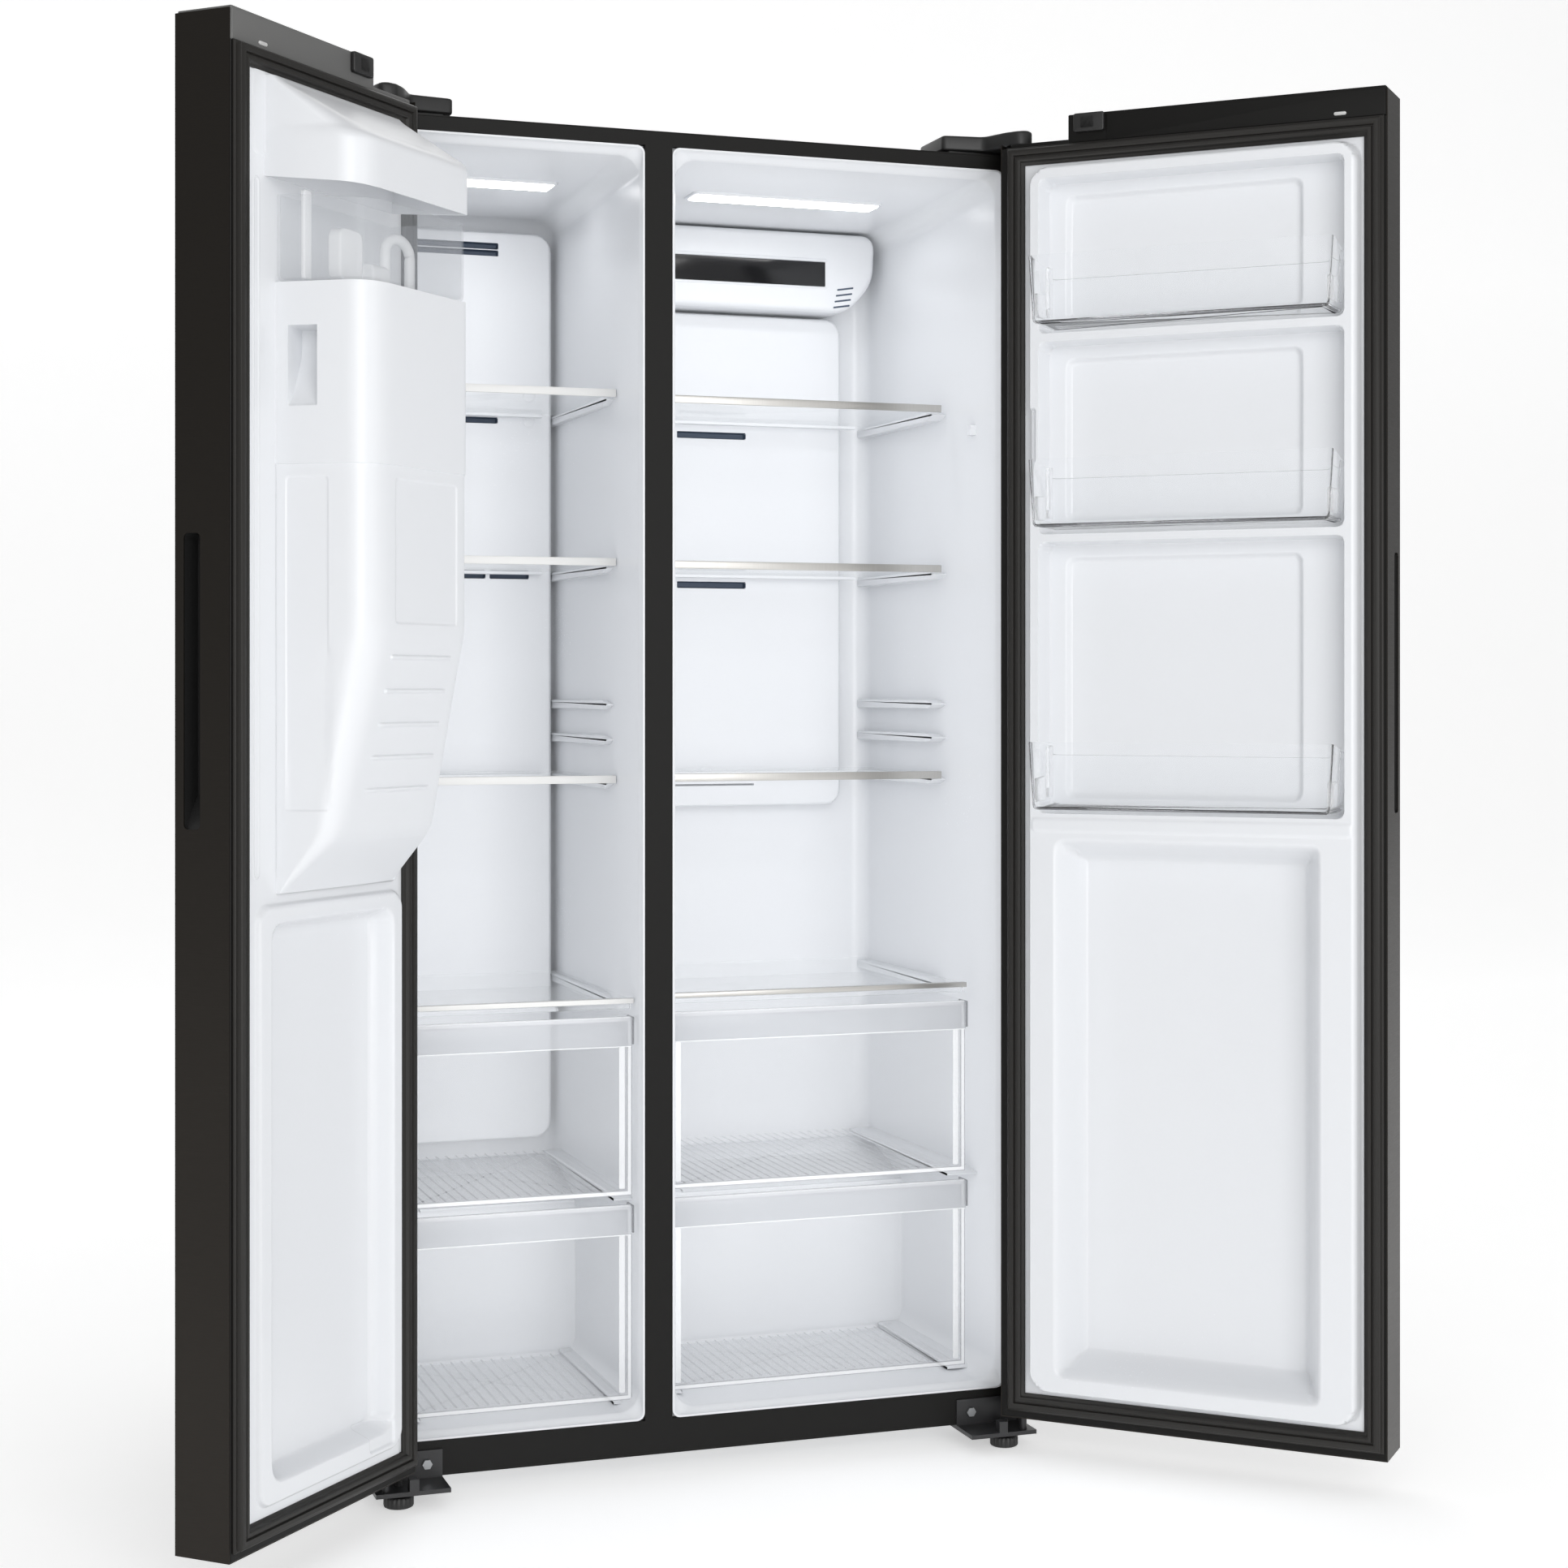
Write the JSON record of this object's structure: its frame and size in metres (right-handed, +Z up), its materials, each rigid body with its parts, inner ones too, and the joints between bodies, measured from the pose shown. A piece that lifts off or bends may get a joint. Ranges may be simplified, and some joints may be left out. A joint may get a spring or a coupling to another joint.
{
  "type": "side by side refrigerator",
  "caption": "Side by side refrigerator with dark steel doors, glass shelves, drawers, door bins and an ice and water dispenser in the narrower freezer door.",
  "frame": {"origin": "on the floor, below the middle of the bounding box at rest, with both doors open", "axes": "+X to the right as seen from the front, -Y out of the front of the cabinet, +Z up"},
  "size_m": [1.5326, 1.0102, 1.78],
  "materials": {
    "brushed_dark_steel": "vertical face with horizontal brushed grain",
    "dark_paint": "matte",
    "white_plastic": "satin moulded",
    "gasket_rubber": "matte",
    "black_plastic": "fine grain",
    "clear_plastic": "clear moulded",
    "shelf_glass": "polished",
    "zinc_steel": "zinc plated",
    "light_cover": "frosted",
    "foam": "rigid foam",
    "black_enamel": "semi gloss"
  },
  "bodies": {
    "cabinet": {"cabinet_shell": "dark_paint", "front_frame": "dark_paint", "freezer_liner": "white_plastic", "fridge_liner": "white_plastic", "cabinet_foam": "foam", "back_panel": "zinc_steel", "base_tray": "zinc_steel", "rear_cover": "black_enamel", "compressor": "black_enamel", "condenser_coil": "black_enamel", "evaporator_coil": "zinc_steel", "freezer_duct_panel": "white_plastic", "fridge_duct_panel": "white_plastic", "fridge_air_hood": "white_plastic", "freezer_lamp_cover": "light_cover", "fridge_lamp_cover": "light_cover", "freezer_drawer_cover": "shelf_glass", "fridge_drawer_cover": "shelf_glass", "left_upper_hinge": "black_plastic", "right_upper_hinge": "black_plastic", "left_lower_hinge": "black_enamel", "right_lower_hinge": "black_enamel", "power_inlet": "black_plastic", "water_valve": "white_plastic"},
    "left_door": {"left_door_skin": "brushed_dark_steel", "left_door_liner": "white_plastic", "left_door_gasket": "gasket_rubber", "left_door_top_cap": "dark_paint", "left_grip_pocket": "black_plastic", "ice_hood": "white_plastic", "ice_housing": "white_plastic", "dispenser_niche": "black_plastic", "dispenser_panel": "black_enamel"},
    "right_door": {"right_door_skin": "brushed_dark_steel", "right_door_liner": "white_plastic", "right_door_gasket": "gasket_rubber", "right_door_top_cap": "dark_paint", "right_grip_pocket": "black_plastic"},
    "freezer_drawer_upper": {"freezer_drawer_upper": "clear_plastic"},
    "freezer_drawer_lower": {"freezer_drawer_lower": "clear_plastic"},
    "fridge_drawer_upper": {"fridge_drawer_upper": "clear_plastic"},
    "fridge_drawer_lower": {"fridge_drawer_lower": "clear_plastic"},
    "freezer_shelf_1": {"freezer_shelf_1": "shelf_glass"},
    "freezer_shelf_2": {"freezer_shelf_2": "shelf_glass"},
    "freezer_shelf_3": {"freezer_shelf_3": "shelf_glass"},
    "fridge_shelf_1": {"fridge_shelf_1": "shelf_glass"},
    "fridge_shelf_2": {"fridge_shelf_2": "shelf_glass"},
    "fridge_shelf_3": {"fridge_shelf_3": "shelf_glass"},
    "ice_container": {"ice_container": "clear_plastic"},
    "right_door_bin_1": {"right_door_bin_1": "clear_plastic"},
    "right_door_bin_2": {"right_door_bin_2": "clear_plastic"},
    "right_door_bin_3": {"right_door_bin_3": "clear_plastic"},
    "door_switch": {"door_switch": "white_plastic"},
    "dispenser_paddle": {"dispenser_paddle": "black_plastic"},
    "condenser_fan": {"condenser_fan": "black_plastic"},
    "evaporator_fan": {"evaporator_fan": "white_plastic"},
    "left_rear_roller": {"left_rear_roller": "black_plastic"},
    "right_rear_roller": {"right_rear_roller": "black_plastic"},
    "left_levelling_foot": {"left_levelling_foot": "black_plastic"},
    "right_levelling_foot": {"right_levelling_foot": "black_plastic"}
  },
  "joints": [
    {"name": "left_door_hinge", "type": "hinge", "parent": "cabinet", "child": "left_door", "pos_m": [-0.48394, -0.11992, 0.9], "axis": [0, 0, -1], "range_deg": [-133.6, 0]},
    {"name": "right_door_hinge", "type": "hinge", "parent": "cabinet", "child": "right_door", "pos_m": [0.37906, -0.11992, 0.9], "axis": [0, 0, 1], "range_deg": [-136, 0]},
    {"name": "freezer_drawer_upper_slide", "type": "slide", "parent": "cabinet", "child": "freezer_drawer_upper", "axis": [0, -1, 0], "range_m": [0, 0.3]},
    {"name": "freezer_drawer_lower_slide", "type": "slide", "parent": "cabinet", "child": "freezer_drawer_lower", "axis": [0, -1, 0], "range_m": [0, 0.2]},
    {"name": "fridge_drawer_upper_slide", "type": "slide", "parent": "cabinet", "child": "fridge_drawer_upper", "axis": [0, -1, 0], "range_m": [0, 0.3]},
    {"name": "fridge_drawer_lower_slide", "type": "slide", "parent": "cabinet", "child": "fridge_drawer_lower", "axis": [0, -1, 0], "range_m": [0, 0.2]},
    {"name": "freezer_shelf_1_slide", "type": "slide", "parent": "cabinet", "child": "freezer_shelf_1", "axis": [0, -1, 0], "range_m": [0, 0.15]},
    {"name": "freezer_shelf_2_slide", "type": "slide", "parent": "cabinet", "child": "freezer_shelf_2", "axis": [0, -1, 0], "range_m": [0, 0.15]},
    {"name": "freezer_shelf_3_slide", "type": "slide", "parent": "cabinet", "child": "freezer_shelf_3", "axis": [0, -1, 0], "range_m": [0, 0.15]},
    {"name": "fridge_shelf_1_slide", "type": "slide", "parent": "cabinet", "child": "fridge_shelf_1", "axis": [0, -1, 0], "range_m": [0, 0.18]},
    {"name": "fridge_shelf_2_slide", "type": "slide", "parent": "cabinet", "child": "fridge_shelf_2", "axis": [0, -1, 0], "range_m": [0, 0.18]},
    {"name": "fridge_shelf_3_slide", "type": "slide", "parent": "cabinet", "child": "fridge_shelf_3", "axis": [0, -1, 0], "range_m": [0, 0.18]},
    {"name": "ice_container_slide", "type": "slide", "parent": "left_door", "child": "ice_container", "axis": [0.7242, -0.6896, 0], "range_m": [0, 0.1]},
    {"name": "right_door_bin_1_slide", "type": "slide", "parent": "right_door", "child": "right_door_bin_1", "axis": [0, 0, 1], "range_m": [0, 0.035]},
    {"name": "right_door_bin_2_slide", "type": "slide", "parent": "right_door", "child": "right_door_bin_2", "axis": [0, 0, 1], "range_m": [0, 0.035]},
    {"name": "right_door_bin_3_slide", "type": "slide", "parent": "right_door", "child": "right_door_bin_3", "axis": [0, 0, 1], "range_m": [0, 0.035]},
    {"name": "door_switch_slide", "type": "slide", "parent": "cabinet", "child": "door_switch", "axis": [1, 0, 0], "range_m": [0, 0.003], "stiffness_N_per_m": 200},
    {"name": "dispenser_paddle_hinge", "type": "hinge", "parent": "left_door", "child": "dispenser_paddle", "pos_m": [-0.57562, -0.24665, 1.293], "axis": [-0.6896, -0.7242, 0], "range_deg": [0, 12], "stiffness_Nm_per_rad": 0.4},
    {"name": "condenser_fan_spin", "type": "hinge", "parent": "cabinet", "child": "condenser_fan", "pos_m": [0.03956, 0.38908, 0.132], "axis": [1, 0, 0], "continuous": true},
    {"name": "evaporator_fan_spin", "type": "hinge", "parent": "cabinet", "child": "evaporator_fan", "pos_m": [-0.29744, 0.37908, 1.29], "axis": [0, 1, 0], "continuous": true},
    {"name": "left_rear_roller_spin", "type": "hinge", "parent": "cabinet", "child": "left_rear_roller", "pos_m": [-0.41244, 0.41308, 0.016], "axis": [1, 0, 0], "continuous": true},
    {"name": "right_rear_roller_spin", "type": "hinge", "parent": "cabinet", "child": "right_rear_roller", "pos_m": [0.30756, 0.41308, 0.016], "axis": [1, 0, 0], "continuous": true},
    {"name": "left_levelling_foot_spin", "type": "hinge", "parent": "cabinet", "child": "left_levelling_foot", "pos_m": [-0.46444, -0.10092, 0.01], "axis": [0, 0, 1], "continuous": true},
    {"name": "right_levelling_foot_spin", "type": "hinge", "parent": "cabinet", "child": "right_levelling_foot", "pos_m": [0.35956, -0.10092, 0.01], "axis": [0, 0, 1], "continuous": true}
  ]
}
